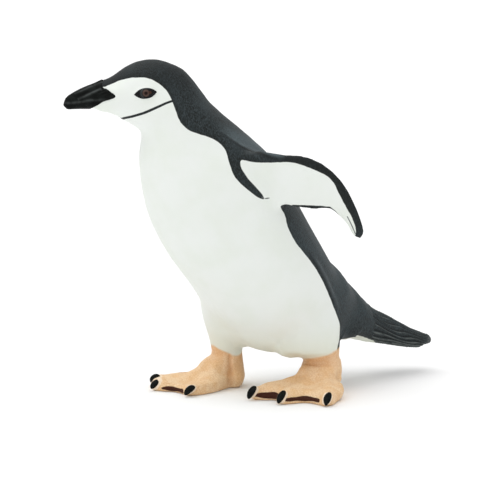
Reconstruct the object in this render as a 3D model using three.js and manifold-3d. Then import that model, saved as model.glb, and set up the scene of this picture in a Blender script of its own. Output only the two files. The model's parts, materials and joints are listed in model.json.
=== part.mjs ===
// A vinyl toy figure of a chinstrap penguin, walking with its flippers held out and back.
// Millimetres, +Z up. The bird walks towards -Y, its left side is +X, and its soles rest on z = 0.
// The origin is on the floor, under the middle of the figure's bounding box.
//
// The bird is moulded as one body. Here it is modelled whole and parted by thin cuts into the pieces
// that a person would name, with the bill, eyes and claws as pieces of their own.

import * as THREE from "three";
import { mergeVertices } from "three/addons/utils/BufferGeometryUtils.js";
import Module from "manifold-3d";

const wasm = await Module();
wasm.setup();

// ---- driving dimensions ----

const gap = 0.3; // width of every parting cut

const neckCut = [16.8, 61.2, 24]; // forward, height and lean of the cut between trunk and neck
const headCut = [2.4, 70.8, 31]; // the same between neck and head, forward of the neck's pivot
const tailCut = [-27, 15, 70]; // the same between trunk and tail

const headTurn = 27; // degrees the head is turned to the bird's right
const neckPivotY = -21.8; // the vertical axis that the head turns about

// The edge of the bill where the feathers end, from above the bill to below it: forward of the
// neck's pivot, and height.
const billEdge = [
  [17.6, 90],
  [17.6, 77.4],
  [18.9, 76.1],
  [15.9, 73.9],
  [19.7, 71.4],
  [21.2, 70],
  [21.2, 60],
];
const mouth = [15.9, 73.9, 11]; // forward, height and downward slope of the mouth line at its corner
const billGap = 0.42; // how far back the feathers stop from the bill's slanting edge

const eyePlace = [8.4, 7.15, 75.3]; // forward of the neck's pivot, out from the middle, height
const eyeHalf = [2.8, 0.9, 1.35]; // half length, thickness and height of the almond
const eyeTilt = 7; // degrees its back corner is raised

const flipperSweep = 44; // degrees the flippers point backwards from straight out
const flipperPitch = 16; // degrees the white side of a flipper looks down
const shoulder = [14.4, -10.4, 54.2]; // where the left flipper's own axes start
const flipperCut = 8.5; // distance out from the shoulder at which the flipper is parted

const stance = 9.6; // each ankle's distance from the middle plane
const thighWidth = 20; // size of the block that parts a thigh from the trunk, front to back
const thighReach = 40; // and along its other edges, out past the skin
const thighAhead = 2.5; // how far that block lies ahead of the ankle
const thighEdge = 3.4; // where that block starts, out from the middle
const groin = 9.4; // and its height there
const ankleTop = 8.3; // where the white leg ends and the orange foot starts
const ankleHalf = [4.4, 3.3]; // half width and half depth of the ankle
const heelHalf = [5.7, 3.5]; // the same of the heel on the floor
const webLength = 16.6; // from the ankle's axis to the edge of the web
const webPast = [16, 30]; // degrees the web runs on past the inner and the outer toe

// Each foot: side, the ankle's place along Y, degrees turned out, and its inner, middle and outer toe
// as a turn from the middle one and a length from the ankle's axis.
const leftFoot = { side: 1, stepY: 14.1, turn: 25, toes: [[-24, 22.6], [0, 21.4], [31.8, 20.6]] };
const rightFoot = { side: -1, stepY: -1.6, turn: 11, toes: [[-34.8, 18.4], [0, 20.5], [15, 19.6]] };
const toeNames = ["inner", "middle", "outer"];

const clawHalf = [1, 1.85, 0.8]; // half width, length and thickness
const clawPitch = 44; // degrees the claw points down
const clawPlace = [1.2, 1.85]; // back from the tip of the toe, and height

// ---- helpers ----

const radians = THREE.MathUtils.degToRad;

// A closed three.js geometry as a manifold-3d solid.
function solid(geometry) {
  const bare = geometry.clone();
  bare.deleteAttribute("normal");
  bare.deleteAttribute("uv");
  const merged = mergeVertices(bare, 1e-4);
  const vertProperties = merged.attributes.position.array;
  const triVerts = new Uint32Array(merged.index.array);
  return new wasm.Manifold(new wasm.Mesh({ numProp: 3, vertProperties, triVerts }));
}

// A manifold-3d solid as a three.js geometry.
function geometryOf(body) {
  const mesh = body.getMesh();
  const geometry = new THREE.BufferGeometry();
  geometry.setAttribute("position", new THREE.BufferAttribute(mesh.vertProperties, 3));
  geometry.setIndex(new THREE.BufferAttribute(mesh.triVerts, 1));
  geometry.computeVertexNormals();
  return geometry;
}

// The mirror image across the middle plane, with its faces still pointing out.
function mirrored(geometry) {
  const copy = geometry.clone().scale(-1, 1, 1);
  const corners = copy.index.array;
  for (let i = 0; i < corners.length; i += 3) {
    [corners[i + 1], corners[i + 2]] = [corners[i + 2], corners[i + 1]];
  }
  return copy;
}

// The half of space that lies beyond a point in one direction, as a large box.
function beyond(point, direction, offset = 0) {
  const size = 300;
  const normal = new THREE.Vector3(...direction).normalize();
  const box = new THREE.BoxGeometry(size, size, size);
  box.translate(0, 0, size / 2 + offset);
  box.applyQuaternion(new THREE.Quaternion().setFromUnitVectors(new THREE.Vector3(0, 0, 1), normal));
  box.translate(...point);
  return solid(box);
}

// Parts a solid with a cut of the usual gap: [what lies beyond the plane, what lies before it].
function parted(body, point, direction) {
  const back = direction.map((value) => -value);
  return [
    body.intersect(beyond(point, direction, gap / 2)),
    body.intersect(beyond(point, back, gap / 2)),
  ];
}

// A smooth curve through equally spaced values, three numbers to a value.
function throughAll(values) {
  const points = values.map((value) => new THREE.Vector3(...value));
  return new THREE.CatmullRomCurve3(points, false, "catmullrom", 0.5);
}

// A closed skin through rings laid along a spine. A ring has a centre, two unit axes (side and front)
// and three half sizes: wide to both sides, front along the front axis and back against it.
// The first and last rings have no size, so they close the ends.
function loft(rings, around, along) {
  const centres = throughAll(rings.map((ring) => ring.centre));
  const sides = throughAll(rings.map((ring) => ring.side));
  const fronts = throughAll(rings.map((ring) => ring.front));
  const sizes = throughAll(rings.map((ring) => ring.sizes));
  const geometry = new THREE.SphereGeometry(1, around, along);
  const position = geometry.attributes.position;
  for (let row = 0; row <= along; row += 1) {
    const t = row / along;
    const centre = centres.getPoint(t);
    const side = sides.getPoint(t).normalize();
    const front = fronts.getPoint(t).normalize();
    const size = row === 0 || row === along ? new THREE.Vector3() : sizes.getPoint(t);
    for (let column = 0; column <= around; column += 1) {
      const angle = (column / around) * 2 * Math.PI;
      const deep = Math.cos(angle) > 0 ? size.y : size.z;
      const point = centre.clone();
      point.addScaledVector(side, size.x * Math.sin(angle));
      point.addScaledVector(front, deep * Math.cos(angle));
      position.setXYZ(row * (around + 1) + column, point.x, point.y, point.z);
    }
  }
  return geometry;
}

// ---- body, head and bill ----

// A ring of the body. Tilt is how far its spine leans forward from upright, in degrees, and turn is
// how far it faces to the bird's right.
function bodyRing([forward, z, tilt, wide, front, back], pivotY, turn) {
  const lean = radians(tilt);
  const yaw = radians(turn);
  return {
    centre: [-Math.sin(yaw) * forward, pivotY - Math.cos(yaw) * forward, z],
    side: [Math.cos(yaw), -Math.sin(yaw), 0],
    front: [-Math.sin(yaw) * Math.cos(lean), -Math.cos(yaw) * Math.cos(lean), -Math.sin(lean)],
    sizes: [wide, front, back],
  };
}

// Trunk and neck, from the root of the tail up: forward of the origin, height, tilt, half width, and
// half depth towards the belly and towards the back.
const trunkRings = [
  [-32, 14.5, 72, 0, 0, 0],
  [-25, 17, 70, 7.6, 5.3, 7.8],
  [-17.5, 19, 62, 12.7, 9.3, 10.9],
  [-10.5, 21.5, 49, 15, 14.5, 13.6],
  [-4, 26.5, 36, 17.2, 15.2, 15.6],
  [1.5, 34, 31, 18.1, 15.9, 15.9],
  [6.7, 42, 28, 18.5, 17, 16],
  [11.3, 50.5, 25, 17.8, 17.5, 15.4],
  [15.3, 58.3, 24, 15.5, 16, 12.7],
  [18.6, 64.6, 24, 12, 13.9, 9.9],
];

// Head and bill: forward of the neck's pivot, then the same as above.
const headRings = [
  [0.6, 69.2, 27, 9.5, 9.5, 8.7],
  [4.1, 72.2, 36, 8.7, 8.7, 9.4],
  [6.9, 74.2, 43, 8, 8.7, 10.1],
  [10.2, 75.5, 51, 7.1, 7.8, 9.5],
  [13.8, 75.9, 59, 5.8, 6.6, 7.7],
  [17, 75.1, 66, 4.4, 5, 5.5],
  [19.4, 74.3, 75, 3.4, 3.2, 4.1],
  [22.8, 73.5, 88, 2.5, 2.2, 3.2],
  [25.2, 72.9, 92, 1.8, 1.6, 2.5],
  [27, 72.5, 95, 1.1, 1.2, 1.6],
  [27.8, 72.3, 95, 0, 0, 0],
];

const neckTurns = [0.55, 0.85]; // the first rings of the head are only part of the way round

function wholeBody() {
  const trunk = trunkRings.map((ring) => bodyRing(ring, 0, 0));
  const head = headRings.map((ring, i) => bodyRing(ring, neckPivotY, headTurn * (neckTurns[i] ?? 1)));
  return loft([...trunk, ...head].reverse(), 28, 44);
}

// ---- tail ----

// Distance back, height, tilt, half width and half thickness of the flat wedge of tail feathers.
const tailRings = [
  [14, 18, 70, 0, 0, 0],
  [19.5, 17.2, 70, 9, 4.6, 8.4],
  [26, 15.4, 70, 9.1, 4.4, 8],
  [31, 13.7, 69, 7.3, 4, 5.8],
  [37, 11.8, 68, 5.7, 3.4, 4.4],
  [45, 9.2, 68, 4.4, 2.5, 2.8],
  [50.6, 7.5, 68, 3.2, 1.7, 2],
  [52.5, 6.9, 68, 0, 0, 0],
];

function tail() {
  const rings = tailRings.map(([back, z, tilt, wide, under, top]) =>
    bodyRing([-back, z, tilt, wide, under, top], 0, 0),
  );
  return loft(rings, 18, 12);
}

// ---- flippers ----

// The flipper in its own plane: distance out, height, turn of the chord, half chord, half thickness.
const flipperRings = [
  [-11, 0.4, 0, 0, 0],
  [-8, 0.4, 0, 5.5, 3],
  [-2, 0, -18, 7, 3],
  [4.5, 0.5, -8, 6.8, 2.2],
  [11.3, 0.3, 0, 6.8, 1.7],
  [16.2, -0.8, 9, 6, 1.5],
  [20.2, -2.9, 23, 3.9, 1.3],
  [22.6, -6.4, 42, 2.6, 1.1],
  [24.3, -9.8, 62, 1.8, 0.9],
  [25.2, -12.7, 72, 1.4, 0.8],
  [25.7, -14.1, 74, 0, 0],
];

function flipper() {
  const rings = flipperRings.map(([out, up, turn, chord, thick]) => {
    const swing = radians(turn);
    return {
      centre: [out, 0, up],
      side: [Math.sin(swing), 0, Math.cos(swing)],
      front: [0, -1, 0],
      sizes: [chord, thick, thick],
    };
  });
  const blade = loft(rings, 18, 20);
  placeFlipper(blade);
  return blade;
}

// Turns something from the left flipper's own axes into place on the body.
function placeFlipper(geometry) {
  geometry.rotateX(radians(flipperPitch));
  geometry.rotateZ(radians(flipperSweep));
  geometry.translate(...shoulder);
}

// ---- legs and feet ----

// Leg: shift inwards and back from the ankle, height, half width, half depth.
const leftLegRings = [
  [4, -8, 28, 0, 0],
  [3.4, -6.5, 23, 6.2, 6.6],
  [2, -4, 17, 7.2, 8.6],
  [1.6, -3.8, 11, 7.4, 8.5],
  [0.4, -1.1, 8.9, 4.9, 4.5],
  [0, -0.8, 5, 4.2, 3.3],
  [0, -0.8, 3, 0, 0],
];

const rightLegRings = [
  [3, 2.4, 28, 0, 0],
  [2.6, 1.6, 24, 7.6, 9.2],
  [1.4, 0.2, 17, 7.2, 7.4],
  [0.8, -0.8, 11.6, 5.2, 4.4],
  [0.2, -0.6, 8.9, 4.1, 3.7],
  [0, -0.8, 5, 4.2, 3.3],
  [0, -0.8, 3, 0, 0],
];

function leg({ side, stepY }, rings) {
  const placed = rings.map(([inward, back, z, wide, deep]) => ({
    centre: [side * (stance - inward), stepY + back, z],
    side: [1, 0, 0],
    front: [0, -1, 0],
    sizes: [wide, deep, deep],
  }));
  return loft(placed, 18, 10);
}

// The reach of an oval with the given half width and half depth, at an angle from straight ahead.
function ovalReach(angle, [wide, deep]) {
  return 1 / Math.hypot(Math.sin(angle) / wide, Math.cos(angle) / deep);
}

// How far the sole reaches from the ankle's axis, at an angle from the middle toe.
function soleReach(angle, toes) {
  const webEnd = angle > 0 ? toes[2][0] + webPast[1] : webPast[0] - toes[0][0];
  const front = 1 / (1 + Math.exp((Math.abs(angle) - radians(webEnd)) / radians(6)));
  const heel = ovalReach(angle, heelHalf);
  const tips = toes.map(([turn, length]) => {
    const away = (angle - radians(turn)) / radians(8);
    return (length - webLength) * Math.exp(-away * away);
  });
  return tips.reduce((reach, tip) => reach + tip, heel + (webLength - heel) * front);
}

// The foot's section, the same at every angle: share of the way from the ankle's skin to the edge of
// the sole, and height. It runs from under the ankle's axis out over the toes and back to the axis.
const footSection = [
  [-1, 9.6],
  [0, 9.6],
  [0.06, 7.1],
  [0.16, 5.8],
  [0.32, 4.4],
  [0.55, 3.5],
  [0.84, 3.3],
  [0.97, 2.4],
  [1, 1],
  [0.97, 0],
  [-1, 0],
];

function foot({ side, stepY, turn, toes }) {
  const profile = footSection.map(([share, z]) => new THREE.Vector2(1 + share, z));
  const geometry = new THREE.LatheGeometry(profile, 60);
  const position = geometry.attributes.position;
  for (let i = 0; i < position.count; i += 1) {
    const x = position.getX(i);
    const z = position.getZ(i);
    const share = Math.hypot(x, z) - 1;
    const angle = Math.atan2(x, -z);
    const ankle = ovalReach(angle, ankleHalf);
    const reach = soleReach(angle * side, toes);
    const radius = share < -0.5 ? 0 : ankle + (reach - ankle) * share;
    position.setXYZ(i, radius * Math.sin(angle), -radius * Math.cos(angle), position.getY(i));
  }
  geometry.rotateZ(radians(side * turn));
  geometry.translate(side * stance, stepY, 0);
  return geometry;
}

// One claw, swollen by `extra` on every side.
function claw({ side, stepY, turn }, [toeTurn, length], extra) {
  const geometry = new THREE.SphereGeometry(1, 8, 6);
  geometry.scale(...clawHalf.map((half) => half + extra));
  geometry.rotateX(radians(clawPitch));
  geometry.translate(0, clawPlace[0] - length, clawPlace[1]);
  geometry.rotateZ(radians(side * (turn + toeTurn)));
  geometry.translate(side * stance, stepY, 0);
  return solid(geometry);
}

// The block that parts a thigh from the trunk: a cube standing on its edge beside the body.
function thighBlock({ side, stepY }, extra) {
  const size = thighReach + 2 * extra;
  const box = new THREE.BoxGeometry(size, thighWidth + 2 * extra, size);
  box.rotateY(radians(45));
  box.translate(side * (thighEdge + thighReach / Math.SQRT2), stepY - thighAhead, groin);
  return solid(box);
}

// ---- eyes and bill ----

// Turns something from the head's own axes (X out to the bird's left, Y back) into place.
function placeOnHead(geometry) {
  geometry.rotateZ(-radians(headTurn));
  geometry.translate(0, neckPivotY, 0);
  return geometry;
}

// An almond-shaped eye, swollen by `extra` on every side.
function eye(side, extra) {
  const [length, thickness, height] = eyeHalf.map((half) => half + extra);
  const geometry = new THREE.SphereGeometry(1, 12, 6);
  const position = geometry.attributes.position;
  for (let i = 0; i < position.count; i += 1) {
    const along = position.getY(i);
    const narrowed = 1 - 0.35 * along * along;
    position.setXYZ(i, position.getX(i) * thickness, along * length, position.getZ(i) * height * narrowed);
  }
  geometry.rotateX(radians(eyeTilt));
  geometry.translate(side * eyePlace[1], -eyePlace[0], eyePlace[2]);
  return solid(placeOnHead(geometry));
}

// All that lies in front of the bill's edge, moved back by `extra`.
function billBlock(extra) {
  const reach = 40;
  const outline = billEdge.map(([forward, z]) => [forward - extra, z]);
  outline.push([reach, 60], [reach, 90]);
  const shape = new THREE.Shape(outline.map(([forward, z]) => new THREE.Vector2(forward, z)));
  const prism = new THREE.ExtrudeGeometry(shape, { depth: reach, bevelEnabled: false });
  prism.translate(0, 0, -reach / 2);
  prism.rotateX(Math.PI / 2);
  prism.rotateZ(-Math.PI / 2);
  return solid(placeOnHead(prism));
}

// ---- the figure ----

const painted = { roughness: 0.55, metalness: 0 };
const white = new THREE.MeshStandardMaterial({ color: 0xeceeeb, ...painted });
const black = new THREE.MeshStandardMaterial({ color: 0x3a3e40, ...painted });
const orange = new THREE.MeshStandardMaterial({ color: 0xe4b98c, ...painted });
const glossBlack = new THREE.MeshStandardMaterial({ color: 0x1f2021, roughness: 0.3, metalness: 0 });
const brown = new THREE.MeshStandardMaterial({ color: 0x5f3524, roughness: 0.3, metalness: 0 });

const toy = new THREE.Group();

function add(name, body, material) {
  const mesh = new THREE.Mesh(geometryOf(body), material);
  mesh.name = name;
  toy.add(mesh);
}

// The point and direction of a cut across the body.
function across([forward, z, tilt], pivotY, turn) {
  const { centre, side, front } = bodyRing([forward, z, tilt, 0, 0, 0], pivotY, turn);
  return [centre, new THREE.Vector3(...front).cross(new THREE.Vector3(...side)).toArray()];
}

// A flipper in two: [the part that stands clear of the body, the root that belongs to the trunk].
function flipperInTwo(side, geometry) {
  const sweep = radians(flipperSweep);
  const outwards = [side * Math.cos(sweep), Math.sin(sweep), 0];
  const root = [side * shoulder[0], shoulder[1], shoulder[2]];
  return parted(solid(geometry), root.map((value, i) => value + outwards[i] * flipperCut), outwards);
}

const blade = flipper();
const [flipperLeft, rootLeft] = flipperInTwo(1, blade);
const [flipperRight, rootRight] = flipperInTwo(-1, mirrored(blade));
const legLeft = solid(leg(leftFoot, leftLegRings));
const legRight = solid(leg(rightFoot, rightLegRings));

const bodyAndTail = solid(wholeBody()).add(solid(tail()));
const [headAndNeck, torsoAndTail] = parted(bodyAndTail, ...across(neckCut, 0, 0));
const [torso, tailEnd] = parted(torsoAndTail, ...across(tailCut, 0, 0));
const neckTurn = headTurn * neckTurns[1]; // the cut lies between the rings that turn with the neck
const [headAndBill, neck] = parted(headAndNeck, ...across(headCut, neckPivotY, neckTurn));

const whiteParts = [rootLeft, rootRight, legLeft, legRight].reduce((a, b) => a.add(b), torso);
const aboveAnkles = whiteParts.intersect(beyond([0, 0, ankleTop], [0, 0, 1], gap / 2));
const trunk = aboveAnkles.subtract(thighBlock(leftFoot, gap)).subtract(thighBlock(rightFoot, gap));
add("trunk", trunk, white);
add("neck", neck, white);
add("tail", tailEnd, black);
add("flipper_left", flipperLeft, black);
add("flipper_right", flipperRight, black);
add("leg_left", aboveAnkles.intersect(thighBlock(leftFoot, 0)), white);
add("leg_right", aboveAnkles.intersect(thighBlock(rightFoot, 0)), white);

const clearance = 0.1; // round the eyes and claws, which sit in pockets
const feathered = headAndBill.subtract(billBlock(billGap));
add("head", feathered.subtract(eye(1, clearance)).subtract(eye(-1, clearance)), white);
add("eye_left", eye(1, 0), brown);
add("eye_right", eye(-1, 0), brown);
const bill = headAndBill.intersect(billBlock(0));
const [billUpper, billLower] = parted(bill, ...across(mouth, neckPivotY, headTurn));
add("bill_upper", billUpper, glossBlack);
add("bill_lower", billLower, glossBlack);

// The largest of the separate bodies in a solid.
function largest(body) {
  return body.decompose().reduce((a, b) => (a.volume() > b.volume() ? a : b));
}

function addFoot(name, shape, lowerLeg) {
  let sole = solid(foot(shape)).add(lowerLeg).intersect(beyond([0, 0, ankleTop], [0, 0, -1], gap / 2));
  shape.toes.forEach((toe, i) => {
    sole = sole.subtract(claw(shape, toe, clearance));
    add(`claw_${name}_${toeNames[i]}`, claw(shape, toe, 0), glossBlack);
  });
  add(`foot_${name}`, largest(sole), orange); // without the slivers that the pockets cut off
}

addFoot("left", leftFoot, legLeft);
addFoot("right", rightFoot, legRight);

// The origin goes on the floor under the middle of the figure.
const bounds = new THREE.Box3().setFromObject(toy);
const middle = bounds.getCenter(new THREE.Vector3());
toy.position.set(-middle.x, -middle.y, -bounds.min.z);

export default toy;
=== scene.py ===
# A moulded vinyl toy of a chinstrap penguin, hand painted, on a plain pale sweep.
# Blender works in metres. Sizes here are in millimetres, and mm turns one into the other.

import json
import math

import bpy
import numpy as np
from mathutils import Matrix, Vector
from mathutils.bvhtree import BVHTree

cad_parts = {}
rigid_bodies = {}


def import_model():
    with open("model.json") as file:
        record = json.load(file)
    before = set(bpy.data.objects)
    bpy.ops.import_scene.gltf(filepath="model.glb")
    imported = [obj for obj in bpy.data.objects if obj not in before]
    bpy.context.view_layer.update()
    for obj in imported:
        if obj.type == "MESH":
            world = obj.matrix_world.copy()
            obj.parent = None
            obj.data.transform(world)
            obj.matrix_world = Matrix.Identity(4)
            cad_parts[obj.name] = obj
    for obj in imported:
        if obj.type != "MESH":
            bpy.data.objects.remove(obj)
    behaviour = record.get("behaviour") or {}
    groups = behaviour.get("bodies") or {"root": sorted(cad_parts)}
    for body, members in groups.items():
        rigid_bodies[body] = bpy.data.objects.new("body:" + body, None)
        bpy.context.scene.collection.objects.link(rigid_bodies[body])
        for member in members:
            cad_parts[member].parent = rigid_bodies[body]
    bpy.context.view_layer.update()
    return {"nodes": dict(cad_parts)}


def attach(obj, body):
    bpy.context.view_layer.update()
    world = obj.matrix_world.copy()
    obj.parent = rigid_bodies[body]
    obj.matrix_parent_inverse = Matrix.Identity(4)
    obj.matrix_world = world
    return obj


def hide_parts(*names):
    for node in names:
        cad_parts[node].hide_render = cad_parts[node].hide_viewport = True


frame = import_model()
mm = 0.001
farOutside = -5.0  # what a field holds where its mark can't be
farBehind = -9


# The figure's own axes. Forward is -Y, and the head and upper neck are turned to the bird's right.
axes = {
    "neckPivot": 24.77,  # how far forward the neck turns about an upright axis
    "neckTurn": 27,  # degrees
    "turnStart": 65,  # distance up the leaning body where the turn starts
    "turnLength": 14,
    "turnLean": 27,
    "leanZero": 2.97,
}
flipperAxes = {"root": (14.4, -13.37, 54.2), "sweep": 44, "pitch": 16}
footAxes = {
    "left": {"ankle": (9.6, 11.13), "turn": 25, "outward": 1, "toes": (-24, 0, 31.8)},
    "right": {"ankle": (-9.6, -4.57), "turn": 11, "outward": -1, "toes": (-34.8, 0, 15)},
}

# Foot, degrees from the middle toe, distance out, height, turn inwards, downward pitch, half length.
clawPlaces = {
    "claw_left_inner": ("left", -23, 22, 2.15, 0, 52, 1.85),
    "claw_left_middle": ("left", 0.5, 20.9, 2.05, 15, 50, 1.85),
    "claw_left_outer": ("left", 32.6, 20.2, 2.05, 30, 52, 1.8),
    "claw_right_inner": ("right", -36.4, 18.2, 1.8, -25, 30, 1.75),
    "claw_right_middle": ("right", -0.8, 19.6, 1.75, 0, 32, 1.6),
    "claw_right_outer": ("right", 12.7, 18.6, 2.35, 0, 32, 1.45),
}


def say(text):
    print("penguin:", text)


def deselectAll():
    bpy.ops.object.select_all(action="DESELECT")


def makeActive(piece):
    deselectAll()
    piece.select_set(True)
    bpy.context.view_layer.objects.active = piece


def copyOfNodes(names, newName):
    copies = []
    for name in names:
        copy = bpy.data.objects.new(newName, frame["nodes"][name].data.copy())
        bpy.context.scene.collection.objects.link(copy)
        copies.append(copy)
    makeActive(copies[0])
    for copy in copies:
        copy.select_set(True)
    if len(copies) > 1:
        bpy.ops.object.join()
    piece = bpy.context.view_layer.objects.active
    piece.name = newName
    piece.data.name = newName
    piece.data.materials.clear()
    bpy.ops.object.mode_set(mode="EDIT")
    bpy.ops.mesh.select_all(action="SELECT")
    bpy.ops.mesh.remove_doubles(threshold=0.002 * mm)
    bpy.ops.object.mode_set(mode="OBJECT")
    return piece


def modify(piece, kind, **settings):
    makeActive(piece)
    modifier = piece.modifiers.new(kind.lower(), kind)
    for key, value in settings.items():
        setattr(modifier, key, value)
    bpy.ops.object.modifier_apply(modifier=modifier.name)


def joinSolids(piece, grid):
    # Swells the solids until they join, makes one closed shell of them, and draws it back in.
    swell = skinMake["overlap"] * mm
    modify(piece, "DISPLACE", strength=swell, mid_level=0)
    modify(piece, "REMESH", mode="VOXEL", voxel_size=grid * mm)
    modify(piece, "DISPLACE", strength=-swell, mid_level=0)


def newBall(name, segments, rings):
    # A sphere of radius 1 mm, for a maker to shape.
    deselectAll()
    bpy.ops.mesh.primitive_uv_sphere_add(segments=segments, ring_count=rings, radius=mm)
    ball = bpy.context.active_object
    ball.name = name
    ball.data.name = name
    return ball


def faceOutwards(piece):
    makeActive(piece)
    bpy.ops.object.mode_set(mode="EDIT")
    bpy.ops.mesh.select_all(action="SELECT")
    bpy.ops.mesh.normals_make_consistent(inside=False)
    bpy.ops.object.mode_set(mode="OBJECT")
    bpy.ops.object.shade_smooth()


def readAll(items, key, width, kind=np.float32):
    # One row of numbers for each point, edge or corner of a mesh.
    flat = np.empty(len(items) * width, kind)
    items.foreach_get(key, flat)
    return flat.reshape(-1, width)


def getPoints(piece):
    return readAll(piece.data.vertices, "co", 3).astype(float) / mm


def getNormals(piece):
    return readAll(piece.data.vertices, "normal", 3).astype(float)


def getEdges(piece):
    return readAll(piece.data.edges, "vertices", 2, np.int32)


def setPoints(piece, points):
    piece.data.vertices.foreach_set("co", (points * mm).astype(np.float32).ravel())
    piece.data.update()


def blurred(values, edges, rounds, share=0.5):
    # Each point moves part of the way to the mean of its neighbours, some rounds over.
    count = len(values)
    first, second = edges.T
    degree = np.bincount(first, minlength=count) + np.bincount(second, minlength=count)
    degree = np.maximum(degree, 1)
    for _ in range(rounds):
        total = np.bincount(first, values[second], count)
        total += np.bincount(second, values[first], count)
        values = values + share * (total / degree - values)
    return values


def step(low, high, values):
    # Rises smoothly from 0 at low to 1 at high.
    share = np.clip((values - low) / (high - low), 0, 1)
    return share * share * (3 - 2 * share)


def bump(values, middle, width):
    # 1 at the middle, and fading on both sides.
    return np.exp(-(((values - middle) / width) ** 2))


def drawn(points, closed=False, steps=7):
    # A smooth line through a few points, as by hand with a brush.
    points = np.array(points, float)
    count = len(points)
    line = []
    for i in range(count if closed else count - 1):
        if closed:
            a, b, c, d = (points[(i + k) % count] for k in (-1, 0, 1, 2))
        else:
            a, b, c, d = (points[min(max(i + k, 0), count - 1)] for k in (-1, 0, 1, 2))
        for t in np.arange(steps) / steps:
            line.append(
                b
                + 0.5 * t * (c - a)
                + 0.5 * t * t * (2 * a - 5 * b + 4 * c - d)
                + 0.5 * t ** 3 * (3 * b - a - 3 * c + d)
            )
    if not closed:
        line.append(points[-1])
    return np.array(line)


def lineDistance(across, up, line, closed=False):
    # Distance to a line, and how far along the line the nearest place is, from 0 to 1.
    best = np.full(len(across), 1e9)
    where = np.zeros(len(across))
    ends = np.roll(line, -1, axis=0) if closed else line[1:]
    lengths = np.hypot(*(ends - line[: len(ends)]).T)
    total = lengths.sum()
    walked = 0.0
    for start, end, length in zip(line, ends, lengths):
        if length < 1e-9:
            continue
        run = (end - start) / length
        along = np.clip((across - start[0]) * run[0] + (up - start[1]) * run[1], 0, length)
        away = np.hypot(across - start[0] - along * run[0], up - start[1] - along * run[1])
        nearer = away < best
        best = np.where(nearer, away, best)
        where = np.where(nearer, (walked + along) / total, where)
        walked += length
    return best, where


def heightOf(line, forward):
    # Height of a line that is drawn from front to back.
    return np.interp(forward, line[::-1, 0], line[::-1, 1])


def areaDistance(across, up, outline):
    # Distance to a closed outline, positive inside.
    best, _ = lineDistance(across, up, outline, closed=True)
    inside = np.zeros(len(across), bool)
    for start, end in zip(outline, np.roll(outline, -1, axis=0)):
        if start[1] == end[1]:
            continue
        crosses = (start[1] > up) != (end[1] > up)
        slope = (end[0] - start[0]) / (end[1] - start[1])
        inside ^= crosses & (across < start[0] + slope * (up - start[1]))
    return np.where(inside, best, -best)


def addAttribute(piece, name, values):
    layer = piece.data.attributes.new(name, "FLOAT", "POINT")
    layer.data.foreach_set("value", values.astype(np.float32))


def headFrame(points, turned=True):
    # Forward of the origin, out to the bird's left, and height, with the neck's turn taken out.
    x, y, z = points.T
    back = y + axes["neckPivot"]
    lean = math.radians(axes["turnLean"])
    most = math.radians(axes["neckTurn"])
    turn = np.full(len(x), most)
    for _ in range(8):  # the turn and the height depend on each other
        forward = -x * np.sin(turn) - back * np.cos(turn)
        height = z * math.cos(lean)
        height = height + (forward + axes["neckPivot"] - axes["leanZero"]) * math.sin(lean)
        if turned:
            turn = most * step(axes["turnStart"], axes["turnStart"] + axes["turnLength"], height)
    forward = -x * np.sin(turn) - back * np.cos(turn)
    side = x * np.cos(turn) - back * np.sin(turn)
    return forward + axes["neckPivot"], side, z


def fromHeadFrame(forward, side, z):
    # Back from the head's own axes to the figure's.
    turn = math.radians(axes["neckTurn"])
    reach = forward - axes["neckPivot"]
    x = -reach * math.sin(turn) + side * math.cos(turn)
    y = -reach * math.cos(turn) - side * math.sin(turn) - axes["neckPivot"]
    return np.stack([x, y, z * np.ones_like(x)], axis=1)


def flipperFrame(points):
    # Out along the flipper, up across it, and through it. The right side is taken as the left's mirror.
    sweep = math.radians(flipperAxes["sweep"])
    pitch = math.radians(flipperAxes["pitch"])
    root = flipperAxes["root"]
    x = np.abs(points[:, 0]) - root[0]
    y = points[:, 1] - root[1]
    z = points[:, 2] - root[2]
    out = x * math.cos(sweep) + y * math.sin(sweep)
    through = -x * math.sin(sweep) + y * math.cos(sweep)
    up = -through * math.sin(pitch) + z * math.cos(pitch)
    through = through * math.cos(pitch) + z * math.sin(pitch)
    return out, up, through


def footFrame(points, foot):
    # Distance from the ankle's axis, degrees outwards from the middle toe, and height.
    turn = math.radians(foot["turn"])
    x = (points[:, 0] - foot["ankle"][0]) * foot["outward"]
    y = points[:, 1] - foot["ankle"][1]
    forward = x * math.sin(turn) - y * math.cos(turn)
    outward = x * math.cos(turn) + y * math.sin(turn)
    return np.hypot(forward, outward), np.degrees(np.arctan2(outward, forward)), points[:, 2]


def linear(hexColour):
    # An sRGB hex value as the linear colour that shaders take.
    channels = []
    for i in (0, 2, 4):
        value = int(hexColour[i:i + 2], 16) / 255
        channels.append(value / 12.92 if value <= 0.04045 else ((value + 0.055) / 1.055) ** 2.4)
    return (*channels, 1)


# What a node does here: its kind, with the settings that make it do that.
nodeKinds = {
    "times": ("Math", {"operation": "MULTIPLY"}),
    "plus": ("Math", {"operation": "ADD"}),
    "minus": ("Math", {"operation": "SUBTRACT"}),
    "larger": ("Math", {"operation": "MAXIMUM"}),
    "fraction": ("Math", {"operation": "FRACT"}),
    "ramp": ("MapRange", {"interpolation_type": "SMOOTHSTEP"}),
    "blend": ("Mix", {"data_type": "FLOAT"}),
    "coat": ("Mix", {"data_type": "RGBA"}),  # share of the new coat, old colour, new colour
    "cells": ("TexVoronoi", {"feature": "DISTANCE_TO_EDGE"}),
}


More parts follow.
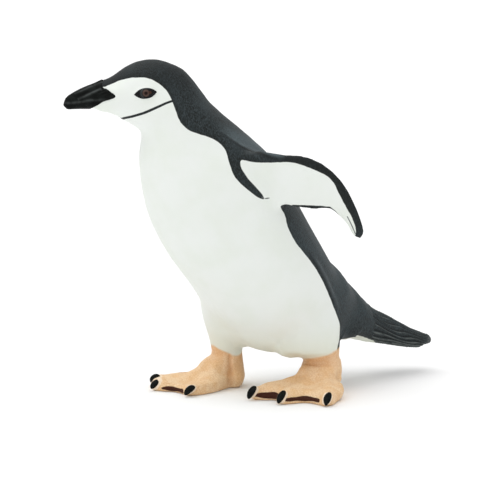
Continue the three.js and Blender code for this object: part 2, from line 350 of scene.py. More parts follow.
def addNode(tree, kind, *inputs, output=None, **settings):
    # Adds one node with its settings, and returns one of its outputs. Each input in turn is a value,
    # another node's output to link, or None to leave it as it is.
    kind, fixed = nodeKinds.get(kind, (kind, {}))
    node = tree.nodes.new("ShaderNode" + kind)
    for key, value in {**fixed, **settings}.items():
        setattr(node, key, value)
    for socket, value in zip([socket for socket in node.inputs if socket.enabled], inputs):
        if isinstance(value, bpy.types.NodeSocket):
            tree.links.new(value, socket)
        elif value is not None:
            socket.default_value = value
    return node.outputs[output] if output else next(socket for socket in node.outputs if socket.enabled)


def newMaterial(name, roughness, specular):
    material = bpy.data.materials.new(name)
    material.use_nodes = True
    tree = material.node_tree
    shader = tree.nodes["Principled BSDF"]
    shader.inputs["Roughness"].default_value = roughness
    shader.inputs["Specular IOR Level"].default_value = specular
    return material, tree, shader


def layered(tree, colour, *coats):
    # Coats laid one over another, each with its share of the surface and its colour.
    for share, over in coats:
        colour = addNode(tree, "coat", share, colour, over)
    return colour


def grain(tree, size, detail=2.0, stretch=(1, 1, 1), turn=(0, 0, 0), roughness=0.5):
    # A pattern of lumps of about this size in mm, on the piece's own Object coordinates.
    place = addNode(tree, "TexCoord", output="Object")
    turned = addNode(tree, "Mapping", place, None, turn, stretch)
    return addNode(tree, "TexNoise", turned, 1 / (size * mm), detail, roughness)


# The skin is one closed vinyl body from crown to soles.
skinMake = {
    "overlap": 0.24,  # how far the solids are swollen so that their thin cuts close
    "grid": 0.35,
    "softenRounds": 70,
    "softenBlur": 12,  # rounds in which one part's smoothing fades into the next one's
    "giveBack": 60,  # rounds of blur on what the smoothing drew in, before it is given back
    "soften": {  # how much each solid's part of the skin is smoothed
        "trunk": 1, "neck": 0.8, "head": 0.3, "eye_left": 0.5, "eye_right": 0.5,
        "bill_upper": 0.15, "bill_lower": 0.15, "tail": 0.2, "flipper_left": 0.14,
        "flipper_right": 0.14, "leg_left": 0.8, "leg_right": 0.8, "foot_left": 0.12,
        "foot_right": 0.12, "claw_left_inner": 1, "claw_left_middle": 1, "claw_left_outer": 1,
        "claw_right_inner": 1, "claw_right_middle": 1, "claw_right_outer": 1,
    },
    "groinRounds": 260,  # more smoothing where the thighs grow out of the belly
    "groin": (10.2, 12.5, 24, 34),  # heights where that starts, is full, fades and ends
    "rump": (13, 18, 28, 33),  # and distances back, where the tail grows out of the rump
    "wingRoot": (8.5, 2.2, 0.3),  # distance out, half width and weight of the same on the flipper
    "plain": ("trunk", "neck", "leg_left", "leg_right"),
    "plainShare": 0.235,  # share of the faces kept on those plain parts
    "thin": ("flipper_left", "flipper_right"),
    "thinShare": 0.35,
    "thinWithin": (20, -4.9),  # the flipper keeps its faces further out and further down than this
    "fineBehind": (30, 25),  # and the tail gets finer ones behind the first and below the second
}

# Outline of the white of the face, breast, belly and legs: forward and height.
whiteOutline = drawn([
    (43.4, 76.8), (42.2, 77.15), (39.4, 78.3), (36.6, 78.9), (33.7, 79.0), (31.9, 78.6), (30.2, 77.7),
    (28.9, 76.6), (28.0, 75.5), (27.5, 74.0), (27.3, 72.3), (27.4, 70.1), (27.25, 68.4), (26.6, 66.9),
    (25.3, 66.0), (23.5, 65.2), (22.0, 64.3), (21.1, 63.4), (20.2, 61.7), (20.0, 58.8), (19.4, 56.2),
    (17.8, 54.0), (15.0, 51.5), (13.2, 50.4), (11.2, 50.0), (9.5, 49.6), (8.3, 48.9), (5.8, 45.9),
    (5.3, 43.1), (3.1, 39.3), (-0.4, 35.7), (-3.4, 32.5), (-6.1, 29.0), (-9.0, 24.6), (-11.7, 20.1),
    (-13.5, 17.4), (-13.9, 15.6), (-13.7, 14), (-13, 12.6), (-12.2, 11.5), (-11.9, 10.4), (-12, 9),
    (-12, -6), (20, -8), (60, -6), (62, 40), (60, 76.5), (50, 76.8),
], closed=True)

# Outline of the white underside of a flipper: out and up.
flipperWhite = drawn([
    (-1.9, 5.95), (-0.6, 5.8), (1.2, 5.55), (3.2, 5.45), (5.5, 5.5), (8.3, 5.6), (10.7, 5.45),
    (12.8, 4.9), (15.6, 3.75), (18.4, 2.35), (20.1, 0.5), (21.35, -2.3), (22.6, -5.25), (23.9, -7.9),
    (24.6, -10.2), (24.75, -12.3), (24, -13.6), (22, -12.4), (21, -8.4), (19.3, -6.1), (18.1, -5.7),
    (15.1, -5.5), (11.2, -5.48), (9.4, -5.85), (8.2, -8), (4.3, -9), (3.2, -3), (1.1, 0.3), (-0.9, 3.05),
    (-1.9, 5.0),
], closed=True)

# Lines and one more area on the side of the body: forward and height, with the neck's turn taken out.
chinStrap = drawn([
    (40.6, 67.6), (39.4, 68.3), (38.2, 69.1), (36.2, 69.85), (33.9, 70.75), (31.6, 71.85), (29.8, 72.7),
    (28.7, 73.2), (26.9, 73.8),
])
shoulderRidge = drawn([(21.5, 68.4), (19.9, 66.4), (18, 64.5), (15.7, 62.8), (11.7, 60.9), (8.3, 60.2)])
flankRidge = drawn([(-2.6, 35.6), (-5.4, 32.2), (-8.6, 27.6), (-11.2, 23.4), (-13.6, 19.5)])
underTail = drawn([
    (-19.4, 10.8), (-20.8, 12.2), (-22.5, 12.4), (-24.6, 11.9), (-28.9, 10.4), (-32.2, 9),
    (-34.5, 7.9), (-36.4, 6.4), (-36, 3), (-19, 3), (-18.6, 9),
], closed=True)
armpitCrease = drawn([(12.9, 50.8), (11.9, 50.35), (10.9, 50.25)])
tipLine = drawn([(22.9, -8.1), (23.8, -10.4), (24.6, -12.6)])  # on the flipper, out and up


# Where the feathers end at the bill, from above it to below: forward and height.
billEdge = drawn([
    (43.2, 80), (43.2, 78.2), (43.35, 76.8), (42.35, 76.15), (41.45, 75.45), (40.75, 74.9), (40.4, 74.4),
    (41.5, 73.65), (42.9, 73.15), (44.75, 72.15), (46.2, 71.2), (47.2, 69.5),
])


def pastBillEdge(forward, z):
    # Distance in front of the bill's edge, or minus the distance behind it.
    away, _ = lineDistance(forward, z, billEdge)
    edge = np.interp(-z, -billEdge[:, 1], billEdge[:, 0])
    return np.where(forward > edge, away, -away)


def nodeOwners(points, names):
    # Which CAD node each point lies on, as a place in names.
    corners, faces, owners = [], [], []
    for index, name in enumerate(names):
        mesh = frame["nodes"][name].data
        start = len(corners)
        corners.extend(vertex.co / mm for vertex in mesh.vertices)
        for face in mesh.polygons:
            faces.append([start + i for i in face.vertices])
            owners.append(index)
    tree = BVHTree.FromPolygons(corners, faces)
    return np.array([owners[tree.find_nearest(Vector(point))[2]] for point in points])


def weightGroup(piece, name, weights, levels=20):
    # A vertex group takes one weight at a time, so the weights are rounded to a few levels.
    group = piece.vertex_groups.new(name=name)
    for level in range(1, levels + 1):
        chosen = np.flatnonzero(np.round(weights * levels) == level)
        if len(chosen):
            group.add(chosen.tolist(), level / levels, "REPLACE")


def selectPoints(piece, chosen):
    # Selects these points with the faces between them, and enters edit mode.
    piece.data.vertices.foreach_set("select", chosen)
    piece.data.edges.foreach_set("select", chosen[getEdges(piece)].all(axis=1))
    corners = [list(face.vertices) for face in piece.data.polygons]
    piece.data.polygons.foreach_set("select", [bool(chosen[face].all()) for face in corners])
    makeActive(piece)
    bpy.ops.object.mode_set(mode="EDIT")


def thinOut(piece, chosen, share):
    # Keeps this share of the faces between the chosen points.
    selectPoints(piece, chosen)
    bpy.ops.mesh.decimate(ratio=share)
    bpy.ops.object.mode_set(mode="OBJECT")


def makeSkin():
    names = list(skinMake["soften"])
    skin = copyOfNodes(names, "skin")
    joinSolids(skin, skinMake["grid"])
    bpy.ops.object.shade_smooth()
    edges = getEdges(skin)
    before = getPoints(skin)
    owner = nodeOwners(before, names)

    weights = np.array([skinMake["soften"][name] for name in names])[owner]
    weightGroup(skin, "soften", blurred(weights, edges, skinMake["softenBlur"]))
    modify(skin, "SMOOTH", factor=0.5, iterations=skinMake["softenRounds"], vertex_group="soften")
    # Smoothing draws the surface in. The slow part of that is given back.
    points, normals = getPoints(skin), getNormals(skin)
    lost = np.sum((before - points) * normals, axis=1)
    points += normals * blurred(lost, edges, skinMake["giveBack"])[:, None]
    setPoints(skin, points)

    plain = np.isin(owner, [names.index(name) for name in skinMake["plain"]])
    start, full, fades, ends = skinMake["groin"]
    height = points[:, 2]
    weights = plain * step(start, full, height) * (1 - step(fades, ends, height))
    start, full, fades, ends = skinMake["rump"]
    back = points[:, 1] + axes["leanZero"]
    onRear = (plain | (owner == names.index("tail"))) & (height > 10)
    weights = np.maximum(weights, onRear * step(start, full, back) * (1 - step(fades, ends, back)))
    out, _, _ = flipperFrame(points)
    root, half, most = skinMake["wingRoot"]
    onWing = most * bump(out, root, half) * (np.abs(points[:, 0]) > 12) * (height > 40)
    weights = np.maximum(weights, onWing)
    weightGroup(skin, "groin", weights)
    modify(skin, "SMOOTH", factor=0.5, iterations=skinMake["groinRounds"], vertex_group="groin")
    skin.vertex_groups.clear()

    # Fewer faces where the body is plain, and more on the tail feathers.
    thinOut(skin, plain, skinMake["plainShare"])
    points = getPoints(skin)
    out, up, _ = flipperFrame(points)
    thin = np.isin(nodeOwners(points, names), [names.index(name) for name in skinMake["thin"]])
    outTo, downTo = skinMake["thinWithin"]
    thinOut(skin, thin & (out < outTo) & (up > downTo), skinMake["thinShare"])
    points = getPoints(skin)
    behind, below = skinMake["fineBehind"]
    selectPoints(skin, (points[:, 1] + axes["leanZero"] > behind) & (points[:, 2] < below))
    bpy.ops.mesh.subdivide(number_cuts=1)
    bpy.ops.object.mode_set(mode="OBJECT")
    bpy.ops.object.shade_smooth()
    points = getPoints(skin)
    say(f"skin closed, {len(points)} points")
    return skin, getEdges(skin), names, nodeOwners(points, names)


footMake = {
    "left": {
        "top": lambda angle: 9.6 + 1.5 * np.cos(np.radians(angle - 110)),  # height of the flesh paint
        "webs": [(-22, -3, 1.3, 0.78), (3, 27, 1.2, 0.6)],  # degrees from, to, height and half width
        "heelBall": 0.1,
        "heelRound": (5.5, 0.85),  # height and share of its rounded lower edge
        "ankleFill": 1.1,
        "instepDrop": -0.1,
        "outerTrim": (0.65, 0.5),  # taken off the outer side of the toes, and off its lower edge
    },
    "right": {
        "top": lambda angle: 9.35 + 1.2 * np.cos(np.radians(2 * (angle + 10))),
        "webs": [(-28, -6, 0.85, 0.55)],
        "heelBall": 0.3,
        "heelRound": (3.6, 0.5),
        "ankleFill": 0.8,
        "instepDrop": 0.9,
        "outerTrim": (0, 0),
    },
    "toeRise": 0.5,
    "toeHalf": 1.9,
    "webDip": 0.4,
    "heelFold": 0.9,
    "ankle": (6.2, 1.3),  # height and half width of the fill in front of it
    "rim": 0.42,  # width of the pale line round a claw
}


def sculptFeet(points, onFoot, fields, lift):
    # Adds to the lift and the fields, and returns how the heels and outer sides are rounded off.
    for name in ("foot", "web", "rim"):
        fields[name] = np.full(len(points), farOutside)
    fields["heel"] = np.zeros(len(points))
    rounded = np.zeros_like(points)
    for name, foot in footAxes.items():
        make = footMake[name]
        radius, angle, height = footFrame(points, foot)
        near = (onFoot | ((height < 14) & (radius < 11))) & (points[:, 0] * foot["outward"] > 0)
        fields["foot"] = np.where(near, make["top"](angle) - height, fields["foot"])
        sideways = np.radians(1) * radius
        for low, high, middle, half in make["webs"]:
            ends = np.minimum(angle - low, high - angle) * sideways
            uneven = 0.1 * np.sin(angle * 0.45 + middle)
            band = np.minimum(half * step(-1.2, 1.2, ends) + uneven - np.abs(height - middle), ends)
            band = np.where(near & (radius > 12), band, farOutside)
            fields["web"] = np.maximum(fields["web"], band)

        # Toes that stand up a little, and webs that dip between them.
        reach = step(5, 11, radius) * step(0.8, 2, height)
        toes = sum(bump((angle - toe) * sideways, 0, footMake["toeHalf"]) for toe in foot["toes"])
        inner, outer = foot["toes"][0], foot["toes"][2]
        between = step(inner - 8, inner + 4, angle) * step(-outer - 8, -outer + 4, -angle)
        raised = reach * (footMake["toeRise"] * toes - footMake["webDip"] * between)
        lift += np.where(near, raised, 0)

        # The heel is a ball behind the ankle, rounded below, with a fold down its inner side that holds
        # painted shade.
        fold = bump(angle, -72, 6) * step(9.6, 7.4, height) * step(0, 1.5, height) * (radius < 9)
        ball = step(70, 95, np.abs(angle)) * bump(height, 3.9, 2.6)
        raised = make["heelBall"] * ball - footMake["heelFold"] * fold
        tall, deep = make["heelRound"]
        inwards = deep * (tall - np.sqrt(tall ** 2 - np.clip(tall - height, 0, tall) ** 2))
        inwards *= near * step(40, 75, np.abs(angle)) * step(0, 6, radius)
        ankle = np.array([*foot["ankle"], 0])
        rounded += (ankle - points * (1, 1, 0)) * (inwards / np.maximum(radius, 1))[:, None]
        # Painted shade in that fold and round the back of the heel.
        shade = np.maximum(fold, 0.7 * step(85, 160, np.abs(angle)))
        fields["heel"] = np.where(near, shade, fields["heel"])

        # The outer side of the outer toe.
        high, low = make["outerTrim"]
        aside = step(36, 48, angle) * step(3, 6, radius * np.sin(np.radians(angle))) * near
        aside *= high * step(-6, -4, -height) + low * step(-2.5, 0, -height)
        turn = math.radians(foot["turn"])
        rounded -= aside[:, None] * (foot["outward"] * math.cos(turn), math.sin(turn), 0)

        # The front of the ankle and the instep.
        middle, half = footMake["ankle"]
        front = step(-100, -70, -np.abs(angle)) * step(3, 4.5, radius)
        raised += make["ankleFill"] * front * bump(height, middle, half) * step(-8.5, -6.5, -radius)
        instep = step(6.5, 11, radius) * step(-19, -16, -radius) * step(2.2, 3.6, height)
        raised -= make["instepDrop"] * front * instep
        lift += np.where(near, raised, 0)

    for place in clawPlaces.values():
        middle, along = clawAxis(*place[:-1])
        long = place[-1]
        away = points - middle
        run = np.clip(away @ along, -0.5 * long, 0.5 * long)
        away = np.linalg.norm(away - run[:, None] * along, axis=1)
        fields["rim"] = np.maximum(fields["rim"], clawMake["wide"] + footMake["rim"] - away)
    return rounded


tailMake = {
    "coverts": 30.3,  # distance back at which the long feathers come out
    "feathers": 6.4,  # feathers to a quarter turn round the tail
    "depth": 0.75,
    "axis": (29, 14.2, 0.325),  # distance back, height there, and fall of the middle of the tail
    "half": (5.2, 0.21),  # its half thickness at that place, and how fast it thins
    "ragged": 1.9,
}
bodyMake = {
    "billBed": 0.45,  # how far the skin sinks under the bill
    "bellyDrop": 0.8,  # how far the belly hangs between the legs
    "thighFacing": (-0.545, -0.839),  # the way the front of the right thigh faces, along x and y
    "underRump": (18.6, 1.9, 12, 2.4, 1.3),  # distance back, half width, height, half height, rise
    "strap": (0.35, 0.12),  # half width of the chin strap, and how much of it is lost along the way
    "crease": 0.16,  # half widths of the thin lines
    "tipLine": 0.15,
    "foldLift": 0.6,
    "flankLift": 0.45,
    "rimLift": 0.16,
}
# Soft rises and hollows: the middle and half width of each along its line, and how far it rises.
relief = {
    "headTop": [(41.2, 2.4, -0.42), (26.3, 3.2, -0.38)],  # by distance forward
    "nape": [(59.5, 2.8, 0.32), (69.4, 3, -0.28), (73, 1.7, -0.22)],  # by height
    "thigh": [(21, 4, 0.5)],  # by height
    "rump": [(21, 1.8, 0.45), (25, 1.4, -0.2), (27.7, 1.4, 0.25), (34.5, 3, -0.3)],  # distance back
}


def rises(name, values):
    return sum(amount * bump(values, middle, half) for middle, half, amount in relief[name])


def tailFeathers(points, owner, names):
    # Turn round the middle of the tail, place among its feathers, and where they show.
    x, y, z = points.T
    back = y + axes["leanZero"]
    at, height, fall = tailMake["axis"]
    thick, thins = tailMake["half"]
    centre = height - (back - at) * fall
    half = np.maximum(thick - (back - at) * thins, 1)
    turn = np.arctan2((z - centre) / half, np.abs(x) / (half * 1.15))
    place = turn / (math.pi / 2) * tailMake["feathers"] + 20
    place = place + 0.8 * np.sin((back - 29) / 22 * math.pi) + 0.25 * np.sin(back * 0.5 + turn * 5)
    tail = (owner == names.index("tail")) | ((owner == names.index("trunk")) & (back > 27))
    scallop = 0.7 * np.abs(np.sin(place * math.pi / 2))
    shown = np.where(tail, step(0, 1.1, back - tailMake["coverts"] - scallop), 0)
    return turn, place, shown


def sculptSkin(skin, edges, names, owner):
    points, normals = getPoints(skin), getNormals(skin)
    part = {name: owner == index for index, name in enumerate(names)}
    forward, _, z = headFrame(points)
    out, up, through = flipperFrame(points)
    x = np.abs(points[:, 0])
    back = points[:, 1] + axes["leanZero"]
    onHead = part["head"] | part["bill_upper"] | part["bill_lower"] | part["neck"]
    onBlade = part["flipper_left"] | part["flipper_right"]
    onFoot = part["foot_left"] | part["foot_right"] | part["leg_left"] | part["leg_right"]
    for name in names:
        if name.startswith("claw"):
            onFoot = onFoot | part[name]
    nearBlade = np.clip(2 * blurred(onBlade.astype(float), edges, 50), 0, 1)
    fields = {}  # what the paint reads: distances in mm that are positive inside, or shares

    # White and black.
    body = areaDistance(forward, z, whiteOutline)
    blade = np.minimum(areaDistance(out, up, flipperWhite), -0.05 - through)
    blade = np.where(x > 9, blade, farBehind)
    white = np.where(onBlade, blade, np.maximum(body, blade))
    under = areaDistance(forward, z, underTail)
    white = np.where(onHead | onFoot | onBlade, white, np.maximum(white, under))
    past = np.where(onHead & (z > 66), pastBillEdge(forward, z), farBehind)
    fields["white"] = np.minimum(white, 0.12 - past)
    lift = -bodyMake["billBed"] * step(-0.1, 0.3, past)

    # Thin lines.
    half, narrows = bodyMake["strap"]
    away, along = lineDistance(forward, z, chinStrap)
    fields["strap"] = np.where(onHead, half - narrows * along - away, farOutside)
    crease, _ = lineDistance(forward, z, armpitCrease)
    tip, _ = lineDistance(out, up, tipLine)
    tip = np.where(onBlade & (through < 0), bodyMake["tipLine"] - tip, farOutside)
    fields["thin"] = np.maximum(bodyMake["crease"] - crease, tip)

    rounded = sculptFeet(points, onFoot, fields, lift)

    # Forehead and crown, nape and shoulders, and the front of the right thigh.
    lift += rises("headTop", forward) * step(0.1, 0.6, normals[:, 2]) * onHead
    lift += rises("nape", z) * step(0, 0.4, normals[:, 1]) * (x < 11) * ~onFoot
    thighX, thighY = bodyMake["thighFacing"]
    facing = step(0.4, 0.9, thighX * normals[:, 0] + thighY * normals[:, 1])
    lift += rises("thigh", z) * facing * (points[:, 0] < 0)

    # The belly hangs a little between the legs.
    low = step(0.2, 0.9, -normals[:, 2]) * step(9, 10, z) * (1 - step(13, 16, z)) * (x < 9)
    hangs = part["trunk"] | part["leg_left"] | part["leg_right"]
    lift += np.where(hangs, bodyMake["bellyDrop"] * low, 0)

    # The back runs down into the tail in one line.
    lift += rises("rump", back) * step(0.1, 0.6, normals[:, 2]) * (z < 34) * (back > 15)
    middle, half, level, tall, rise = bodyMake["underRump"]
    lift += rise * bump(back, middle, half) * bump(z, level, tall) * (x < 11) * ~onFoot

    # Tail feathers lie like shingles, each with a sharp outer edge, and end unevenly.
    turn, place, shown = tailFeathers(points, owner, names)
    share = place - np.floor(place)
    shingle = share * (1 - step(0.86, 1, share))
    lift += shown * tailMake["depth"] * (shingle - 0.55)
    fields["place"] = place
    fields["shown"] = shown
    longer = 0.5 + 0.5 * np.sin(np.floor(place) * 12.9898 + 4.1)  # as good as random for each feather
    longer = np.where(np.abs(turn - 1.35) < 0.34, 1.3, longer)  # the top one is the longest
    grow = tailMake["ragged"] * (longer - 0.5) * step(47, 51.5, back)
    upturn = np.where(longer > 1, 0.4, 0) * step(50, 51.7, back)

    # Where the dry brushing is faint: on the flippers, by the white and on the front of the head.
    fields["calm"] = np.maximum(nearBlade, 0.6 * step(-1.3, -0.2, fields["white"]))
    fields["front"] = np.where(onHead, step(31, 40, forward), 0)

    # The fold of the shoulder stands up, with a painted highlight along its top over painted shade in
    # the groove below.
    _, along = lineDistance(forward, z, shoulderRidge)
    below = heightOf(shoulderRidge, forward) - z
    fold = step(-0.9, 0.5, below) * step(-4.5, -1.2, -below) * step(0.02, 0.5, along) * (x > 6)
    fold = fold * step(-23, -19, -forward) * step(5, 9, forward) * (1 - nearBlade)
    lift += bodyMake["foldLift"] * fold
    mantle = step(0.02, 0.5, along) * (x > 6) * (1 - nearBlade) * step(5, 8, forward)
    foldHighlight = np.minimum(bump(below, -1.6, 2.2) + 0.6 * bump(below, -0.1, 0.35), 1.3)
    fields["fold"] = foldHighlight * mantle
    # Painted shade in the groove under the fold.
    grooveShade = bump(below, 0.75, 0.5) * mantle

    # So does the edge of the flank feathers, with a painted highlight along it and a painted shadow in
    # the groove behind it.
    away, along = lineDistance(forward, z, flankRidge)
    flank = bump(away, 0, 0.5) * step(0, 0.25, along) * step(-1, -0.75, -along) * (x > 5)
    lift += bodyMake["flankLift"] * flank
    fields["flank"] = flank
    behind = np.interp(z, flankRidge[::-1, 1], flankRidge[::-1, 0]) - forward
    shadow = 0.8 * bump(behind, -0.9, 0.6) * (along > 0) * (x > 5)
    shadow = shadow * step(19, 24, z) * step(-37, -34, -z) * ~onBlade
    fields["grooveShade"] = np.maximum(grooveShade, shadow)

    # The black rim of the flipper stands a little above its white side.
    onFace = (x > 12) & (through < 0.2) & (onBlade | (out > 3))
    lift += np.where(onFace, -bodyMake["rimLift"] * step(-0.1, 0.5, blade), 0)

    points += normals * blurred(lift, edges, 2)[:, None] + rounded
    points[:, 1] += grow
    points[:, 2] += upturn - tailMake["axis"][2] * grow
    points[:, 2] = np.maximum(points[:, 2], 0)
    setPoints(skin, points)
    for name, values in fields.items():
        addAttribute(skin, name, values)
    say("skin sculpted and marked")


skinPaint = {
    "white": "e7ebe7",
    "whiteCloud": "e3e8e1",
    # painted shade low on the body: the white is darker towards the feet
    "whiteLowShade": "dcdfcd",  # warmer towards the feet
    "black": "1a1d1c",
    "brushed": "3c4548",  # grey dry-brushed along the lie of the feathers
    "clouded": "353e41",
    "crown": "080a09",
    "flank": "3b474c",
    # painted highlight along the top of the shoulder fold
    "fold": "5a666a",
    # painted highlight along the edge of the flank feathers
    "flankRidgeHighlight": "586063",
    # painted shade in the grooves under the shoulder fold and behind the flank feathers
    "grooveShade": "0d0e0e",
    # painted shadow where each tail feather starts, and painted highlight along its edge
    "featherShadow": "101212",
    "featherHighlight": "5d6361",
    "strap": "25292a",
    "thinLine": "5d6262",
    "foot": "f4d7b1",
    "footCloud": "edc89a",
    "footSpeckle": "cf9c68",
    "footScale": "c9935f",
    # painted shade in the heel's fold and round its back
    "heel": "c28f5f",
    "ankle": "dba577",
    "web": "401f11",
    "clawRim": "f6e0c6",
}
# Sizes of the patterns in mm. Real bristle marks are finer, and would not show.
skinGrain = {
    "wobble": 1.6, "cloud": 9, "streak": 0.3, "broad": 6, "edgeHighlight": 2.2,
    "scale": 0.62, "mottle": 3, "speckle": 0.45,
}
featherLean = -27  # degrees that the lie of the feathers leans back


def paintedVinyl():
    # Acrylic paint brushed on moulded PVC: satin, slightly uneven coats with soft hand-cut edges.
    material, tree, shader = newMaterial("paintedVinyl", 0.5, 0.14)
    tone = {name: linear(colour) for name, colour in skinPaint.items()}
    names = (
        "white", "strap", "thin", "foot", "web", "rim", "heel", "place", "shown", "calm", "front",
        "fold", "flank", "grooveShade",
    )
    marks = {name: addNode(tree, "Attribute", output="Fac", attribute_name=name) for name in names}
    wobble = addNode(tree, "minus", grain(tree, skinGrain["wobble"]), 0.5)
    wobble = addNode(tree, "times", wobble, 0.28)

    def painted(name, soft=0.07, rough=1.0):
        # Share of a marked area that is painted, with an edge that wavers as a brush does.
        edge = addNode(tree, "plus", marks[name], addNode(tree, "times", wobble, rough))
        return addNode(tree, "ramp", edge, -soft, soft)

    place = addNode(tree, "TexCoord", output="Object")
    level = addNode(tree, "SeparateXYZ", place, output="Z")
    clouds = addNode(tree, "ramp", grain(tree, skinGrain["cloud"], 3), 0.35, 0.7)
    # Painted shade low on the body: the white turns darker and warmer towards the feet.
    low = addNode(tree, "ramp", level, 20 * mm, 10 * mm, 0, 0.6)
    whitePaint = layered(tree, tone["white"], (clouds, tone["whiteCloud"]), (low, tone["whiteLowShade"]))

    lean = (math.radians(featherLean), 0, 0)
    streaks = grain(tree, skinGrain["streak"], 4, (1, 1, 0.45), lean, 0.75)
    broad = grain(tree, skinGrain["broad"], 3, (1, 1, 0.3), lean)
    calm = addNode(tree, "minus", 1, addNode(tree, "times", marks["calm"], 0.75))
    brushed = addNode(tree, "times", addNode(tree, "ramp", streaks, 0.38, 0.68), calm)
    clouded = addNode(tree, "times", addNode(tree, "ramp", broad, 0.45, 0.7, 0, 0.5), calm)
    # The brushed grey fades out on the crown, and is palest on the flanks.
    crown = addNode(tree, "ramp", level, 72 * mm, 80 * mm, 0, 0.38)
    crown = addNode(tree, "larger", crown, addNode(tree, "times", marks["front"], 0.6))
    flank = addNode(tree, "ramp", level, 8 * mm, 28 * mm)
    flank = addNode(tree, "times", flank, addNode(tree, "ramp", level, 50 * mm, 36 * mm))
    flank = addNode(tree, "times", flank, addNode(tree, "ramp", streaks, 0.35, 0.6, 0.1, 0.5))
    # Painted highlight along the top of the shoulder fold, streaked like the dry brushing.
    fold = addNode(tree, "ramp", streaks, 0.35, 0.62, 0.42, 0.75)
    fold = addNode(tree, "times", marks["fold"], fold)
    # Each tail feather has a painted highlight along its raised edge, broken up by a noise, and the next
    # one starts in painted shadow.
    share = addNode(tree, "fraction", marks["place"])
    featherShade = addNode(tree, "times", addNode(tree, "ramp", share, 0.45, 0.05), marks["shown"])
    edgeHighlight = addNode(tree, "ramp", share, 0.7, 0.84)
    edgeHighlight = addNode(tree, "times", edgeHighlight, addNode(tree, "ramp", share, 0.98, 0.9))
    worn = addNode(tree, "ramp", grain(tree, skinGrain["edgeHighlight"], 2), 0.35, 0.6, 0.25, 1)
    edgeHighlight = addNode(tree, "times", addNode(tree, "times", edgeHighlight, worn), marks["shown"])
    blackPaint = layered(
        tree, tone["black"],
        (brushed, tone["brushed"]),
        (clouded, tone["clouded"]),
        (crown, tone["crown"]),
        (flank, tone["flank"]),
        (fold, tone["fold"]),
        (addNode(tree, "times", marks["flank"], 0.55), tone["flankRidgeHighlight"]),
        (addNode(tree, "times", marks["grooveShade"], 0.8), tone["grooveShade"]),
        (addNode(tree, "times", featherShade, 0.7), tone["featherShadow"]),
        (edgeHighlight, tone["featherHighlight"]),
    )

    # Feet: flesh orange, deeper near the ankle, with painted shade in the heel's fold and round the back
    # of the heel, and fine scales.
    scales = addNode(tree, "cells", place, 1 / (skinGrain["scale"] * mm))
    scales = addNode(tree, "ramp", scales, 0, 0.25)
    mottle = grain(tree, skinGrain["mottle"], 4)
    speckle = grain(tree, skinGrain["speckle"], 2)
    high = addNode(tree, "ramp", marks["foot"], 7.5, 1.5)
    footPaint = layered(
        tree, tone["foot"],
        (addNode(tree, "ramp", mottle, 0.35, 0.65), tone["footCloud"]),
        (addNode(tree, "ramp", speckle, 0.55, 0.7, 0, 0.35), tone["footSpeckle"]),
        (addNode(tree, "ramp", scales, 0.6, 0, 0, 0.3), tone["footScale"]),
        (addNode(tree, "times", marks["heel"], 0.42), tone["heel"]),
        (addNode(tree, "times", high, 0.35), tone["ankle"]),
    )

    footShare = painted("foot", 0.4, 2.2)
    colour = layered(
        tree, blackPaint,
        (painted("white"), whitePaint),
        (painted("strap", 0.06, 0.35), tone["strap"]),
        (painted("thin", 0.06, 0.2), tone["thinLine"]),
        (footShare, footPaint),
        (painted("web", 0.09, 0.9), tone["web"]),
        (addNode(tree, "times", painted("rim", 0.1, 0.4), footShare), tone["clawRim"]),
    )
    tree.links.new(colour, shader.inputs["Base Color"])

    # Fine barbs pressed into the black, small scales into the feet, and a smoother face on the white.
    barbs = addNode(tree, "ramp", marks["white"], 0.3, -0.3, 0.12, 1)
    barbs = addNode(tree, "times", streaks, barbs)
    pressed = addNode(tree, "blend", painted("foot"), barbs, addNode(tree, "times", scales, 0.9))
    height = addNode(tree, "Bump", 0.6, 0.15 * mm, None, pressed)
    tree.links.new(height, shader.inputs["Normal"])
    roughness = addNode(tree, "ramp", streaks, 0.3, 0.7, 0.46, 0.58)
    tree.links.new(roughness, shader.inputs["Roughness"])
    return material


billMake = {
    "grid": 0.13,
    "softenRounds": 16,
    "behind": 0.6,  # how far back it runs under the feathers
    "sink": 0.4,
    "grooveDepth": 0.26,
    "grooveHalf": 0.3,
    "roof": 0.3,  # how much is taken off its top where the feathers end
    "droop": 0.2,
}
# Moulded lines on each side of the bill: forward and height.
mouthLine = drawn([
    (51.3, 72.2), (49.6, 72.35), (48.1, 72.6), (46.2, 72.95), (44.2, 73.0), (42.5, 73.35), (40.9, 74.1),
])
upperLine = drawn([(49.6, 74.2), (48.2, 74.8), (46.8, 75.5), (45.2, 76.25), (43.6, 76.9)])


def deletePoints(piece, chosen):
    piece.data.vertices.foreach_set("select", chosen)
    makeActive(piece)
    bpy.ops.object.mode_set(mode="EDIT")
    bpy.ops.mesh.select_mode(type="VERT")
    bpy.ops.mesh.delete(type="VERT")
    bpy.ops.mesh.select_all(action="DESELECT")
    bpy.ops.object.mode_set(mode="OBJECT")


def pinchedPoints(piece):
    # Points on no face, and points where an open edge of the mesh touches itself.
    corners = readAll(piece.data.loops, "vertex_index", 1, np.int32)[:, 0]
    onFace = np.bincount(corners, minlength=len(piece.data.vertices)) > 0
    sides = readAll(piece.data.loops, "edge_index", 1, np.int32)[:, 0]
    uses = np.bincount(sides, minlength=len(piece.data.edges))
    ends = getEdges(piece)[uses == 1]
    return ~onFace | (np.bincount(ends.ravel(), minlength=len(onFace)) > 2)


